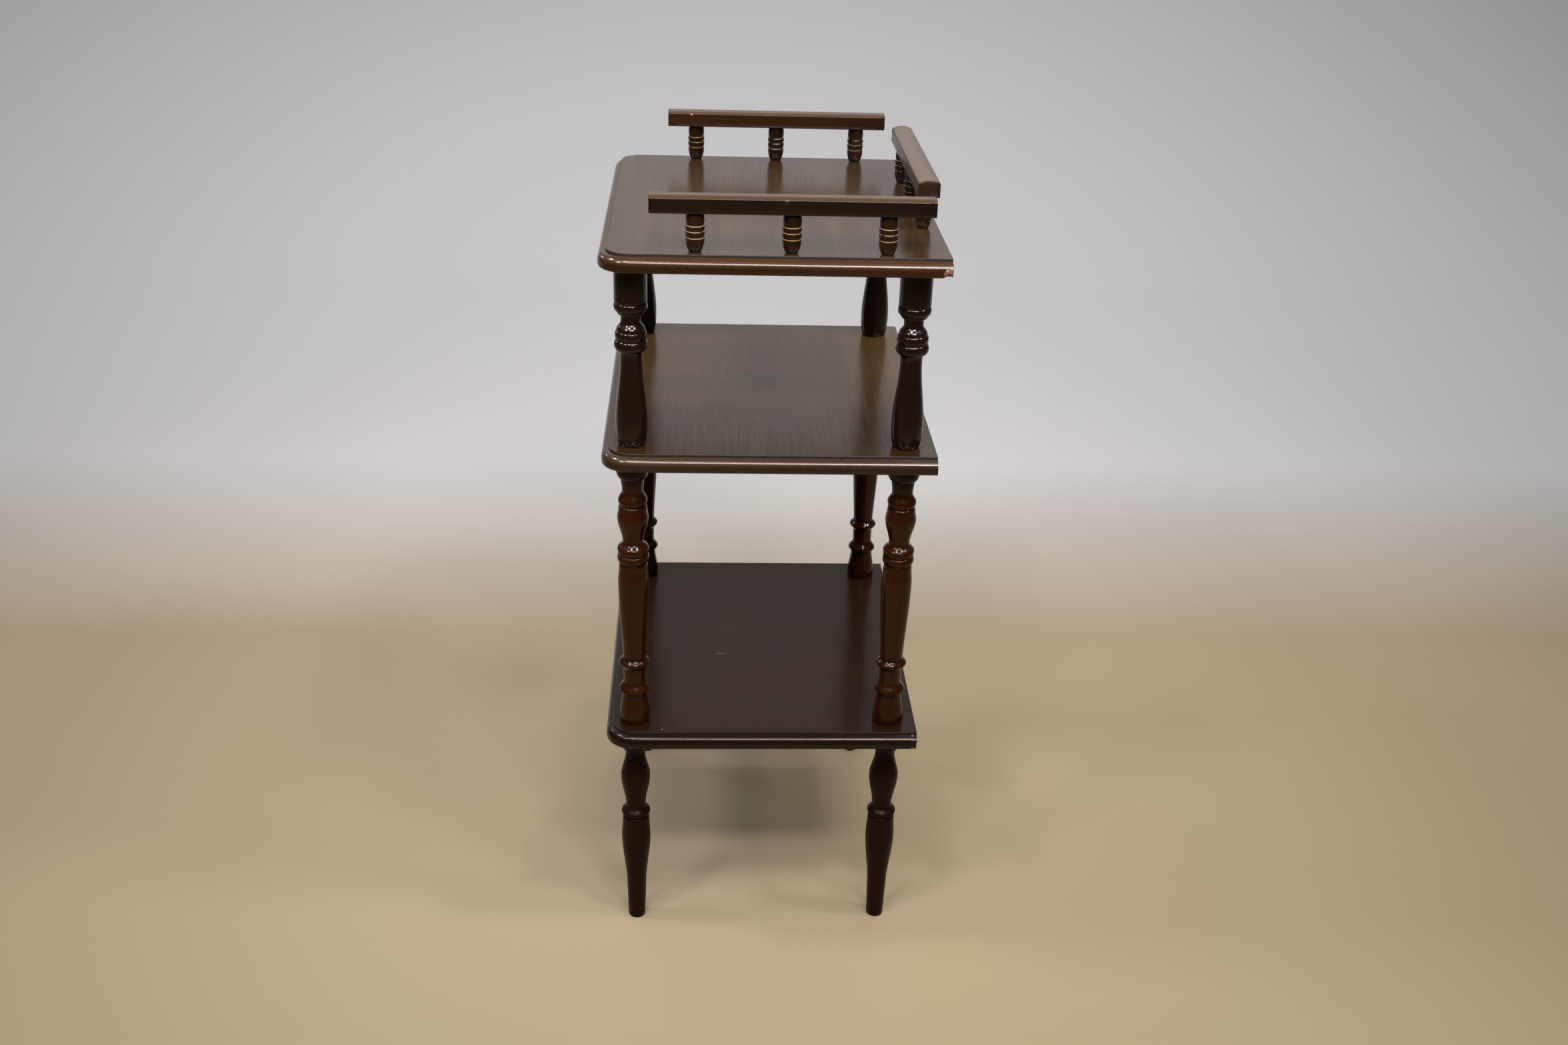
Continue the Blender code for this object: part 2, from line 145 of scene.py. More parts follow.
# %% [markdown]
# ## Studio
#
# A gloss finish is mostly a mirror, so the studio decides how dark wood looks. The boards look grey where
# they reflect a pale backdrop, the posts look nearly black because they reflect a rather dark room, and each
# ring carries a row of small white spots, one for each lamp. The floor and the backdrop are one sheet of
# matt paper that curves up behind the stand, with no corner to see. Its colour turns from a warm floor to
# a cooler backdrop between two places along X.

# %% Pale sweep for floor and backdrop
SWEEP_FRONT, SWEEP_BACK = 4.0, -2.5
SWEEP_HALF_WIDTH = 4.0
SWEEP_TOP = 3.4
COVE_RADIUS = 0.7
COVE_STEPS = 24
FLOOR, BACKDROP = "#a5977c", "#c9c9cb"
FLOOR_ENDS = (-0.40, -0.95)


def make_sweep():
    outline = [(SWEEP_FRONT, 0.0)]
    for i in range(COVE_STEPS + 1):
        turn = math.pi / 2 * i / COVE_STEPS
        outline.append((SWEEP_BACK + COVE_RADIUS * (1 - math.sin(turn)), COVE_RADIUS * (1 - math.cos(turn))))
    outline.append((SWEEP_BACK, SWEEP_TOP))
    points = [(x, y, z) for x, z in outline for y in (-SWEEP_HALF_WIDTH, SWEEP_HALF_WIDTH)]
    faces = [(2 * i, 2 * i + 2, 2 * i + 3, 2 * i + 1) for i in range(len(outline) - 1)]
    mesh = bpy.data.meshes.new("sweep")
    mesh.from_pydata(points, [], faces)
    mesh.flip_normals()
    mesh.shade_smooth()
    sweep = bpy.data.objects.new("sweep", mesh)
    scene.collection.objects.link(sweep)
    paper, tree = new_material("pale_matt_paper")
    place = add_node(tree, "TexCoord").outputs["Object"]
    depth = add_node(tree, "SeparateXYZ", {0: place}).outputs["X"]
    behind = add_node(tree, "MapRange", {
        "Value": depth, "From Min": FLOOR_ENDS[0], "From Max": FLOOR_ENDS[1]}).outputs[0]
    colour = add_node(tree, "Mix", {"Factor": behind, "A": linear(FLOOR), "B": linear(BACKDROP)},
                      data_type="RGBA").outputs["Result"]
    shader = add_node(tree, "BsdfDiffuse", {"Color": colour})
    add_node(tree, "OutputMaterial", {"Surface": shader.outputs[0]})
    mesh.materials.append(paper)


make_sweep()
print("Sweep from", SWEEP_FRONT, "m in front to a backdrop", -SWEEP_BACK, "m behind the stand")

# %% [markdown]
# ## Lamps
#
# Seven small lamps stand round the front, the camera's side and the back, and make the row of spots on each
# ring. One short strip lamp draws the line of light along the mouldings, and one wide lamp lights the
# backdrop. A narrow spread keeps the small lamps' light off the rest of the room. The camera doesn't see
# the lamps themselves.

# %% Lamps
STAND_MIDDLE = Vector((0.0, 0.0, 0.38))
SPOT_DISTANCE = 2.1
SPOT_SIZE = (0.3, 0.2)
SPOT_SPREAD = 80


def lamp(name, place, aim, size, watts, colour, spread):
    """A rectangular lamp that faces its aim. Its spread is how widely it throws light, in degrees."""
    data = bpy.data.lights.new(name, "AREA")
    data.shape = "RECTANGLE"
    data.size, data.size_y = size
    data.energy = watts
    data.color = linear(colour)[:3]
    data.spread = math.radians(spread)
    made = bpy.data.objects.new(name, data)
    made.location = place
    made.rotation_euler = (Vector(aim) - Vector(place)).to_track_quat("-Z", "Y").to_euler()
    made.visible_camera = False
    scene.collection.objects.link(made)
    return made


def round_the_stand(azimuth, elevation, distance):
    """A place seen from the middle of the stand. Azimuth is from +X, the camera's side, towards +Y."""
    turn, lift = math.radians(azimuth), math.radians(elevation)
    return STAND_MIDDLE + distance * Vector((
        math.cos(turn) * math.cos(lift), math.sin(turn) * math.cos(lift), math.sin(lift)))


# Name, azimuth and elevation in degrees, watts, colour
SPOT_LAMPS = (
    ("lamp_window", -122, 27, 0.9, "#c4d6ff"),
    ("lamp_front", -88, 50, 2.6, "#eef2ff"),
    ("lamp_front_right", -44, 46, 2.2, "#fff8f2"),
    ("lamp_front_right_high", -20, 58, 2.4, "#fff8f2"),
    ("lamp_back_right", 16, 46, 2.2, "#fff8f2"),
    ("lamp_back_right_high", 40, 58, 2.4, "#fff8f2"),
    ("lamp_back", 72, 50, 2.6, "#fff8f2"),
)
for name, azimuth, elevation, watts, colour in SPOT_LAMPS:
    place = round_the_stand(azimuth, elevation, SPOT_DISTANCE)
    lamp(name, place, STAND_MIDDLE, SPOT_SIZE, watts, colour, SPOT_SPREAD)
lamp("strip_lamp", place=(1.45, 0.05, 1.95), aim=(0.0, 0.05, 0.4), size=(0.5, 0.2), watts=2.3,
     colour="#fff0ee", spread=80)
lamp("backdrop_lamp", place=(-1.2, 0.0, 3.2), aim=(SWEEP_BACK, 0.0, 2.0), size=(3.4, 0.4), watts=66.0,
     colour="#fffdfc", spread=150)

# %% [markdown]
# ## The room round the stand
#
# The world is what the gloss reflects where there is no lamp and no paper: dark around, and paler above,
# as a ceiling is. The camera itself sees an even pale grey past the edges of the paper.

# %% World
CAMERA_BACKGROUND = "#c4c3c6"
ROOM_ABOVE, ROOM_AROUND = "#959293", "#2c2b2c"
CEILING_FROM, CEILING_FULL = 0.3, 0.9


def make_world():
    world = bpy.data.worlds.new("room")
    world.use_nodes = True
    scene.world = world
    tree = world.node_tree
    tree.nodes.clear()
    place = add_node(tree, "TexCoord").outputs["Generated"]
    height = add_node(tree, "SeparateXYZ", {0: place}).outputs["Z"]
    above = add_node(tree, "MapRange", {
        "Value": height, "From Min": CEILING_FROM, "From Max": CEILING_FULL}).outputs[0]
    room = add_node(tree, "Mix", {"Factor": above, "A": linear(ROOM_AROUND), "B": linear(ROOM_ABOVE)},
                    data_type="RGBA").outputs["Result"]
    seen = add_node(tree, "LightPath").outputs["Is Camera Ray"]
    shade = add_node(tree, "Mix", {"Factor": seen, "A": room, "B": linear(CAMERA_BACKGROUND)},
                     data_type="RGBA").outputs["Result"]
    glow = add_node(tree, "Background", {"Color": shade, "Strength": 1.0})
    add_node(tree, "OutputWorld", {"Surface": glow.outputs[0]})


make_world()
scene.view_settings.view_transform = "Standard"
print("Room brightness above and around:", [round(linear(c)[1], 3) for c in (ROOM_ABOVE, ROOM_AROUND)])

# %% [markdown]
# ## Stained wood
#
# Stands like this are usually made of a plain hardwood, stained to pass for mahogany and sprayed with a
# clear lacquer. The stain shows three things: broad bands, fine streaks, and short dark pores that fill
# with it. All three are noise drawn out along one axis, because trees grow that way. The noise lives in the
# stand's own space, so a post cut from another part of the plank gets another bit of grain for free.
# Blender's noise lies mostly between 0.3 and 0.7, so that part of it is spread over the range that is
# wanted, and pores are only its peaks, over 0.6. Real pores are about a quarter of a millimetre wide. Here
# they come from noise 0.8 mm wide, which is coarser, so that they show.

# %% The grain
GRAIN_AXES = {"x": 0, "y": 1, "z": 2}
BAND_MM = (22, 420)
STREAK_MM = (1.7, 240)
PORE_MM = (0.8, 9)
PORE_STAIN = "#0c0604"
SHIFT_DIRECTION = (1.0, 1.7, 0.6)


def streaks(tree, along, size_mm, detail, shift=0.0):
    """Noise drawn out along one axis: soft streaks of a given width and length in millimetres."""
    width, length = size_mm
    scale = [1 / (width * MM)] * 3
    scale[GRAIN_AXES[along]] = 1 / (length * MM)
    place = add_node(tree, "TexCoord").outputs["Object"]
    stretch = add_node(tree, "Mapping", {
        "Vector": place, "Location": [shift * part for part in SHIFT_DIRECTION], "Scale": scale}).outputs[0]
    return add_node(tree, "TexNoise", {
        "Vector": stretch, "Scale": 1.0, "Detail": detail, "Roughness": 0.55}).outputs["Fac"]


def wood_colour(tree, along, dark, light, bands, fine, pores):
    """Broad bands, fine streaks and short dark pores between two stains. The last three say how strong."""
    band = add_node(tree, "MapRange", {
        "Value": streaks(tree, along, BAND_MM, 1.0), "From Min": 0.35, "From Max": 0.65,
        "To Min": 0.5 - bands, "To Max": 0.5 + bands}).outputs[0]
    line = add_node(tree, "MapRange", {
        "Value": streaks(tree, along, STREAK_MM, 3.0, 3.1), "From Min": 0.3, "From Max": 0.7,
        "To Min": -fine, "To Max": fine}).outputs[0]
    both = add_node(tree, "Math", {0: band, 1: line}, operation="ADD", use_clamp=True).outputs[0]
    colour = add_node(tree, "Mix", {"Factor": both, "A": linear(dark), "B": linear(light)},
                      data_type="RGBA").outputs["Result"]
    pore = add_node(tree, "MapRange", {
        "Value": streaks(tree, along, PORE_MM, 1.0, 7.7), "From Min": 0.60, "From Max": 0.72,
        "To Min": 0.0, "To Max": pores}).outputs[0]
    return add_node(tree, "Mix", {"Factor": pore, "A": colour, "B": linear(PORE_STAIN)},
                    data_type="RGBA").outputs["Result"]


print("Width and length in mm of bands, streaks and pores:", BAND_MM, STREAK_MM, PORE_MM)

# %% [markdown]
# ## Gloss lacquer
#
# Sprayed lacquer is a clear film with an index of refraction near 1.5. To the eye it is a clean mirror over
# a deep brown. Up close the mirror is a little uneven, for two reasons: the grain is just felt through the
# film, and the spray dries with a faint ripple, like orange peel. Both go into the roughness and the bump.
# Deep in a groove the lacquer sinks and dust settles on it, so the gloss is lost there.

# %% The lacquer
LACQUER_IOR = 1.5
GLASS_SHINE = 0.5
FELT_GRAIN_MM = (1.7, 60)
ORANGE_PEEL_MM = 5
RIPPLE_MM = 0.4
CLEANEST, ROUGHEST = 0.8, 1.25
GROOVE_ROUGHNESS = 0.5


def lacquer(tree, colour, along, roughness, ripple, shine=GLASS_SHINE):
    """Clear gloss lacquer over a colour. A shine under that of glass stands for a worn or thin coat."""
    grain = streaks(tree, along, FELT_GRAIN_MM, 2.0, 3.1)
    rough = add_node(tree, "MapRange", {
        "Value": grain, "From Min": 0.3, "From Max": 0.7,
        "To Min": roughness * CLEANEST, "To Max": roughness * ROUGHEST}).outputs[0]
    place = add_node(tree, "TexCoord").outputs["Object"]
    orange_peel = add_node(tree, "TexNoise", {
        "Vector": place, "Scale": 1 / (ORANGE_PEEL_MM * MM), "Detail": 1.0}).outputs["Fac"]
    height = add_node(tree, "Math", {0: grain, 1: orange_peel}, operation="ADD").outputs[0]
    bump = add_node(tree, "Bump", {"Height": height, "Strength": ripple, "Distance": RIPPLE_MM * MM})
    return add_node(tree, "BsdfPrincipled", {
        "Base Color": colour, "Roughness": rough, "IOR": LACQUER_IOR, "Specular IOR Level": shine,
        "Normal": bump.outputs[0]})


def dull_in_grooves(tree, shader, mask):
    """Take the gloss away where the mask is 1."""
    gloss = shader.inputs["Roughness"].links[0].from_socket
    rough = add_node(tree, "Mix", {"Factor": mask, "A": gloss, "B": GROOVE_ROUGHNESS}).outputs["Result"]
    tree.links.new(rough, shader.inputs["Roughness"])


print("Lacquer with an index of refraction of", LACQUER_IOR, "and a ripple every", ORANGE_PEEL_MM, "mm")

# %% [markdown]
# ## Chips and scratches
#
# Where the finish is knocked off, bare wood shows: paler, matt and ragged at its edge. A chip is described
# by its middle and its half-sizes in millimetres. The mask is 1 inside that ellipsoid, and noise shifts the
# edge so that it looks torn and not cut out with a compass.

# %% A function for bare spots
TEAR_MM = 1.2
SPOT_SOFTNESS = 0.12
BARE_ROUGHNESS = 0.6


def bare_spot(tree, middle_mm, half_mm, ragged):
    """Mask of a ragged spot: 1 inside, 0 outside."""
    place = add_node(tree, "TexCoord").outputs["Object"]
    away = add_node(tree, "VectorMath", {0: place, 1: [v * MM for v in middle_mm]},
                    operation="SUBTRACT").outputs[0]
    share = add_node(tree, "VectorMath", {0: away, 1: [1 / (v * MM) for v in half_mm]},
                     operation="MULTIPLY").outputs[0]
    reach = add_node(tree, "VectorMath", {0: share}, operation="LENGTH").outputs["Value"]
    tear = add_node(tree, "TexNoise", {
        "Vector": place, "Scale": 1 / (TEAR_MM * MM), "Detail": 2.0}).outputs["Fac"]
    torn = add_node(tree, "Math", {0: tear, 1: ragged * 2, 2: reach}, operation="MULTIPLY_ADD").outputs[0]
    return add_node(tree, "MapRange", {
        "Value": torn, "From Min": 1.0 + ragged - SPOT_SOFTNESS, "From Max": 1.0 + ragged + SPOT_SOFTNESS,
        "To Min": 1.0, "To Max": 0.0}).outputs[0]


def bare_spots(tree, spots):
    """Masks and colours of several spots, each given as middle, half-sizes, raggedness and colour."""
    return [(bare_spot(tree, middle, half, ragged), bare) for middle, half, ragged, bare in spots]


def finish_material(tree, shader, spots=()):
    """Put bare spots (mask, colour) over the lacquer and close the material."""
    colour = shader.inputs["Base Color"].links[0].from_socket
    rough = shader.inputs["Roughness"].links[0].from_socket
    for mask, bare in spots:
        colour = add_node(tree, "Mix", {"Factor": mask, "A": colour, "B": linear(bare)},
                          data_type="RGBA").outputs["Result"]
        rough = add_node(tree, "Mix", {"Factor": mask, "A": rough, "B": BARE_ROUGHNESS}).outputs["Result"]
    tree.links.new(colour, shader.inputs["Base Color"])
    tree.links.new(rough, shader.inputs["Roughness"])
    add_node(tree, "OutputMaterial", {"Surface": shader.outputs[0]})


print("Bare spots have their edge torn over about", TEAR_MM, "mm")

# %% [markdown]
# ## From points to a piece of the stand
#
# Every new piece is a mesh made from a list of points and faces. It takes the place of one solid, rides on
# the stand's only body, and is shaded smooth except where two faces meet at a real arris. Knocks are made
# in the mesh too, so that they show in the outline: the points inside a small ellipsoid are pushed inwards,
# a little unevenly.

# %% Pieces and knocks
SHARP_ANGLE = math.radians(50)
KNOCK_GRAIN_MM = 1.6
KNOCK_REACH, KNOCK_TEAR, KNOCK_SLOPE = 1.1, 0.35, 0.45


def add_piece(name, points, faces, materials):
    """A new piece of the stand that replaces the solid of the same name."""
    mesh = bpy.data.meshes.new(name)
    mesh.from_pydata(points, [], faces)
    for material in materials:
        mesh.materials.append(material)
    mesh.shade_smooth()
    mesh.set_sharp_from_angle(angle=SHARP_ANGLE)
    piece = bpy.data.objects.new(name + "_visual", mesh)
    scene.collection.objects.link(piece)
    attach(piece, "root")
    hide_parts(name)
    return piece


def store(piece, name, values):
    """Keep a number for each point of the mesh under a name that a material can read."""
    piece.data.attributes.new(name, "FLOAT", "POINT").data.foreach_set("value", values)


def knock(piece, middle_mm, half_mm, push_mm, seed=0.0):
    """Push the points inside an ellipsoid, with a torn edge. Returns how many moved."""
    moved = 0
    for point in piece.data.vertices:
        share = Vector([(c / MM - m) / h for c, m, h in zip(point.co, middle_mm, half_mm)])
        uneven = noise.noise(point.co / (KNOCK_GRAIN_MM * MM) + Vector((seed, 0, 0)))
        depth = min(1.0, max(0.0, (KNOCK_REACH + KNOCK_TEAR * uneven - share.length) / KNOCK_SLOPE))
        if depth > 0:
            point.co += Vector(push_mm) * MM * depth
            moved += 1
    return moved


print("Arrises sharper than", round(math.degrees(SHARP_ANGLE)), "degrees stay crisp")

# %% [markdown]
# ## Boards
#
# Each board is a slab whose front and two sides carry a moulding: a small step, a quarter round and an
# eased lower edge. The back edge is sawn straight, and the two front corners are rounded. A moulding is one
# outline carried round the plan, so the board is lofted: the same plan is drawn again for each point of the
# outline, a little wider and lower every time. The plan has extra points near the two back corners, where
# the boards are chipped.

# %% The moulding's outline and the plan
MOULDING_REACH = 6.5
STEP_DROP = 2.5
ROUND_DROP = 7.5
EDGE_BAND = 2.5
LOWER_EASE = 2.0
FRONT_CORNER_RADIUS = 25.0
ROUND_STEPS = 14
EASE_STEPS = 5
CORNER_STEPS = 20
SIDE_STEPS = 12
CHIP_SPACING = 0.8
CHIP_LENGTH = 14.0
BACK_INSETS = (1.2, 2.6, 4.5, 8.0, 16.0)
STEP_OUTLINE = ((-0.5, 0.0), (-0.15, -0.12), (0.0, -0.5), (0.0, -2.1), (0.12, -2.4))


def moulding_outline():
    """Points (reach, height) in millimetres from the top face down to the underside."""
    points = list(STEP_OUTLINE)
    for i in range(1, ROUND_STEPS + 1):
        turn = math.pi / 2 * i / ROUND_STEPS
        points.append((MOULDING_REACH * math.sin(turn), -STEP_DROP - ROUND_DROP * (1 - math.cos(turn))))
    band_top = -STEP_DROP - ROUND_DROP
    points += [(MOULDING_REACH, band_top - EDGE_BAND * part) for part in (0.33, 0.67, 1.0)]
    for i in range(1, EASE_STEPS + 1):
        turn = math.pi / 2 * i / EASE_STEPS
        points.append((MOULDING_REACH - LOWER_EASE * (1 - math.cos(turn)),
                       band_top - EDGE_BAND - LOWER_EASE * math.sin(turn)))
    return points


def plan(reach):
    """Points (x, y) in millimetres round a board, from the back left anticlockwise."""
    half = SHELF_HALF_WIDTH / MM - MOULDING_REACH + reach
    front = SHELF_FRONT / MM + MOULDING_REACH - reach
    back = SHELF_BACK / MM
    radius = FRONT_CORNER_RADIUS - MOULDING_REACH + reach
    corner_y = front + radius
    side = [back - i * CHIP_SPACING for i in range(int(CHIP_LENGTH / CHIP_SPACING) + 1)]
    side += [side[-1] + (corner_y - side[-1]) * i / SIDE_STEPS for i in range(1, SIDE_STEPS)]
    turns = [math.pi / 2 * i / CORNER_STEPS for i in range(CORNER_STEPS + 1)]
    left = [(-half, y) for y in side]
    left += [(-half + radius * (1 - math.cos(t)), corner_y - radius * math.sin(t)) for t in turns]
    right = [(-x, y) for x, y in reversed(left)]
    behind = [(half - inset, back) for inset in BACK_INSETS]
    return left + right + behind + [(-x, y) for x, y in reversed(behind)]


print("The moulding has", len(moulding_outline()), "points and the plan", len(plan(0)))

# %% [markdown]
# ## Finish of the boards
#
# The faces are stained veneer, with the grain from side to side in fine streaks and a few broader bands.
# Most of what lightens them to the eye is the reflection of the pale backdrop. The middle face is the palest
# one, and part of that is painted light. It and the bottom one carry painted shade on the camera's side:
# their colour darkens towards +X. The bottom face is darker all over, partly as painted shade under the
# boards above. The moulded edge is cut wood, which drinks the stain differently: orange-brown on the top
# board, cooler on the middle one and almost black at the bottom, partly as painted shade there too. Painted
# shade also darkens the step and the low part of the moulding, and the gloss is lost there.

# %% Board finishes
# Painted shade: the faces darken towards +X, the camera's side, by the share given in the table.
PAINTED_SHADE_SPAN = (-0.03, 0.10)
PAINTED_SHADE_COLOUR = "#1a0d05"
# Painted shade on the moulded edges: its colour, its share in the step and its share low down.
PAINTED_EDGE_SHADE = "#140a06"
STEP_SHADE_SHARE = 0.9
LOW_SHADE_SHARE = 0.5
LOW_SHADE_DROPS = (6.0, 9.0)


def board_face(name, dark, light, shine, painted_shade_share, spots):
    """Stained veneer under gloss lacquer, with painted shade towards the camera's side by a share from 0 to
    1.
    """
    material, tree = new_material(name)
    colour = wood_colour(tree, "x", dark, light, bands=0.3, fine=0.35, pores=0.06)
    # Painted shade: the colour darkens towards the camera's side.
    place = add_node(tree, "TexCoord").outputs["Object"]
    depth = add_node(tree, "SeparateXYZ", {0: place}).outputs["X"]
    darker = add_node(tree, "MapRange", {
        "Value": depth, "From Min": PAINTED_SHADE_SPAN[0], "From Max": PAINTED_SHADE_SPAN[1],
        "To Min": 0.0, "To Max": painted_shade_share}).outputs[0]
    colour = add_node(tree, "Mix", {"Factor": darker, "A": colour, "B": linear(PAINTED_SHADE_COLOUR)},
                      data_type="RGBA").outputs["Result"]
    shader = lacquer(tree, colour, "x", roughness=0.2, ripple=0.03, shine=shine)
    finish_material(tree, shader, bare_spots(tree, spots))
    return material


def board_edge(name, dark, light, shine, spots):
    """Moulded edge of a board: the same stain on cut wood, with painted shade in the step and low down."""
    material, tree = new_material(name)
    colour = wood_colour(tree, "y", dark, light, bands=0.35, fine=0.15, pores=0.1)
    # The stain attribute holds painted shade, in the step and low on the moulding, and also dulls the gloss.
    stain = add_node(tree, "Attribute", attribute_name="stain").outputs["Fac"]
    colour = add_node(tree, "Mix", {"Factor": stain, "A": colour, "B": linear(PAINTED_EDGE_SHADE)},
                      data_type="RGBA").outputs["Result"]
    shader = lacquer(tree, colour, "y", roughness=0.19, ripple=0.0, shine=shine)
    dull = add_node(tree, "MapRange", {
        "Value": stain, "From Min": 0.5, "From Max": 0.8, "To Min": 0.0, "To Max": 1.0}).outputs[0]
    dull_in_grooves(tree, shader, dull)
    # Some of the edge's spots are painted highlights on the chips.
    finish_material(tree, shader, bare_spots(tree, spots))
    return material


def painted_shade_at(drop):
    """How much painted shade the edge gets at a drop in millimetres: in the step, and low on the moulding."""
    if drop < STEP_DROP:
        return STEP_SHADE_SHARE if drop > 0 else 0.0
    first, full = LOW_SHADE_DROPS
    return LOW_SHADE_SHARE * min(1.0, max(0.0, (drop - first) / (full - first)))


# The extra stain printed here is painted shade.
print("Extra stain in the step and under the moulding:", painted_shade_at(1.0), painted_shade_at(12.0))

# %% [markdown]
# ## Lofting the boards
#
# The outline and the plan meet here. Rings of points are joined by faces, and the first and last ring are
# closed by one face each. The flat faces get the veneer and the rest gets the moulded edge's finish. Each
# row of the table gives a board's face (two stains, how much it shines, how much painted shade darkens its
# camera's side) and its edge (two stains, how much it shines). Bare spots sit at the back end of two
# mouldings, and three small ones among them are painted highlights on the chips. There is one scratch and
# one speck on the bottom face. The same two corners are knocked in as well. A knock is given by its middle,
# its half-sizes and its push in millimetres, and by which bit of noise tears its edge.

# %% A function that lofts a board
NEARLY_FLAT = 0.999


def make_board(name, face, edge):
    """Loft one board between the heights of its solid."""
    top = SHELF_TOPS[name] / MM
    outline = moulding_outline()
    points = [(x * MM, y * MM, (top + drop) * MM) for reach, drop in outline for x, y in plan(reach)]
    count = len(plan(0))
    faces = [tuple(range(count))]
    for i in range(len(outline) - 1):
        for j in range(count):
            k = (j + 1) % count
            faces.append((i * count + j, (i + 1) * count + j, (i + 1) * count + k, i * count + k))
    last = (len(outline) - 1) * count
    faces.append(tuple(reversed(range(last, last + count))))
    board = add_piece(name, points, faces, [face, edge])
    for polygon in board.data.polygons:
        flat = abs(polygon.normal.z) > NEARLY_FLAT
        polygon.material_index = 0 if flat else 1
        polygon.use_smooth = not flat
    # The stain attribute stores painted shade for each ring of the edge.
    store(board, "stain", [painted_shade_at(-drop) for _, drop in outline for _ in range(count)])
    return board


print("Each board is lofted from", len(moulding_outline()), "rings of points")

# %% The three boards
# The bottom board's near-black stains are partly painted shade under the boards above, and the middle face's
# paler stains are partly painted light.
BOARDS = {
    "top_shelf": (("#322214", "#41301e", 0.58, 0.0), ("#36210f", "#472d19", 0.5)),
    "middle_shelf": (("#554025", "#61482b", 0.47, 0.84), ("#33251a", "#433024", 0.5)),
    "bottom_shelf": (("#24150b", "#2b1a0e", 0.13, 0.5), ("#150a06", "#20120b", 0.3)),
}
FACE_SPOTS = {
    "bottom_shelf": [
        ((27.2, -35.6, 221.5), (0.9, 5.6, 1.0), 0.7, "#5e5147"),
        ((162.6, -89.6, 221.5), (0.5, 0.5, 1.0), 0.1, "#8f9184"),
    ],
}
EDGE_CHIPS_AND_GLINTS = {
    "top_shelf": [
        ((173.6, 136.8, 651.2), (2.0, 4.4, 3.0), 0.3, "#784f41"),
        # Painted highlight: this small pale spot is a glint on the chip.
        ((173.4, 135.2, 654.3), (0.8, 0.9, 0.7), 0.15, "#b3a784"),
        ((173.3, 138.4, 655.0), (0.8, 1.6, 0.8), 0.3, "#84705f"),
    ],
    "bottom_shelf": [
        # Painted highlights: these two pinkish spots are glints in the notch; the last one is bare wood.
        ((171.9, 137.2, 216.6), (0.8, 2.6, 0.6), 0.3, "#7c6358"),
        ((168.6, 135.9, 218.8), (1.0, 1.2, 0.6), 0.2, "#6f6366"),
        ((173.0, 136.4, 207.4), (1.6, 3.6, 1.2), 0.25, "#866845"),
    ],
}
KNOCKS = {
    "top_shelf": ((173.8, 137.5, 647.0), (3.0, 6.0, 3.2), (-0.5, 0.0, 1.7), 0.0),
    "bottom_shelf": ((174.5, 138.6, 210.0), (2.5, 4.0, 7.0), (-0.9, -0.9, 0.0), 4.0),
}
for name, (face_finish, edge_finish) in BOARDS.items():
    board = make_board(
        name,
        board_face("mahogany_face_" + name, *face_finish, FACE_SPOTS.get(name, ())),
        board_edge("mahogany_edge_" + name, *edge_finish, EDGE_CHIPS_AND_GLINTS.get(name, ())))
    moved = knock(board, *KNOCKS[name]) if name in KNOCKS else 0
    print(name, "faces:", len(board.data.polygons), "points knocked:", moved)

# %% [markdown]
# ## How a turner shapes a post
#
# A turning is cut on a lathe from a square blank, and its outline is a chain of a few kinds of cut: a
# straight shoulder, a bead that bulges, a cove that is hollow, and S curves, short or long. One function
# for each kind draws it from where the last cut ended, so the outline stays as easy to read as the turner's
# own notes. Beads and coves are quarters of an ellipse.

# %% Shoulders, beads and coves
ARC_STEPS = 8


def straight(start, drop, radius):
    return [(radius, start[1] - drop)]


def quarter(start, drop, radius, bulging):
    """A quarter of an ellipse, bulging or hollow."""
    growing = radius > start[0]
    points = []
    for i in range(1, ARC_STEPS + 1):
        turn = math.pi / 2 * i / ARC_STEPS
        across, down = 1 - math.cos(turn), math.sin(turn)
        if growing == bulging:
            across, down = math.sin(turn), 1 - math.cos(turn)
        points.append((start[0] + (radius - start[0]) * across, start[1] - drop * down))
    return points


def bulge(start, drop, radius):
    return quarter(start, drop, radius, True)


def hollow(start, drop, radius):
    return quarter(start, drop, radius, False)


print("A bead takes", ARC_STEPS, "points")

# %% [markdown]
# ## S curves and long sides
#
# A cosine gives the S curve of a vase. The lower posts' long side stops while it still slopes, so it uses
# less than the half turn of a full S. A spindle's foot leans in more and more, which a square gives. The
# last function joins the cuts and gives one of them the height that the others leave.

# %% S curves and the chain of cuts
REST = None
OGEE_STEPS = 10
SWEEP_STEPS = 20
TAPER_TURN = math.radians(144)


def s_curve(start, drop, radius, steps):
    """An S curve that leaves and arrives parallel to the axis."""
    points = []
    for i in range(1, steps + 1):
        part = i / steps
        across = (1 - math.cos(math.pi * part)) / 2
        points.append((start[0] + (radius - start[0]) * across, start[1] - drop * part))
    return points


def ogee(start, drop, radius):
    """A short S curve, like the flare under or over a ring."""
    return s_curve(start, drop, radius, OGEE_STEPS)


def sweep(start, drop, radius):
    """A long S curve, like a vase's side."""
    return s_curve(start, drop, radius, SWEEP_STEPS)


def taper(start, drop, radius):
    """A long S curve that is cut off while it still slopes."""
    points = []
    for i in range(1, SWEEP_STEPS + 1):
        part = i / SWEEP_STEPS
        across = (1 - math.cos(TAPER_TURN * part)) / (1 - math.cos(TAPER_TURN))
        points.append((start[0] + (radius - start[0]) * across, start[1] - drop * part))
    return points


def barrel(start, drop, radius):
    """A side that leans in more and more, like a barrel's."""
    points = []
    for i in range(1, SWEEP_STEPS + 1):
        part = i / SWEEP_STEPS
        points.append((start[0] + (radius - start[0]) * part ** 2, start[1] - drop * part))
    return points


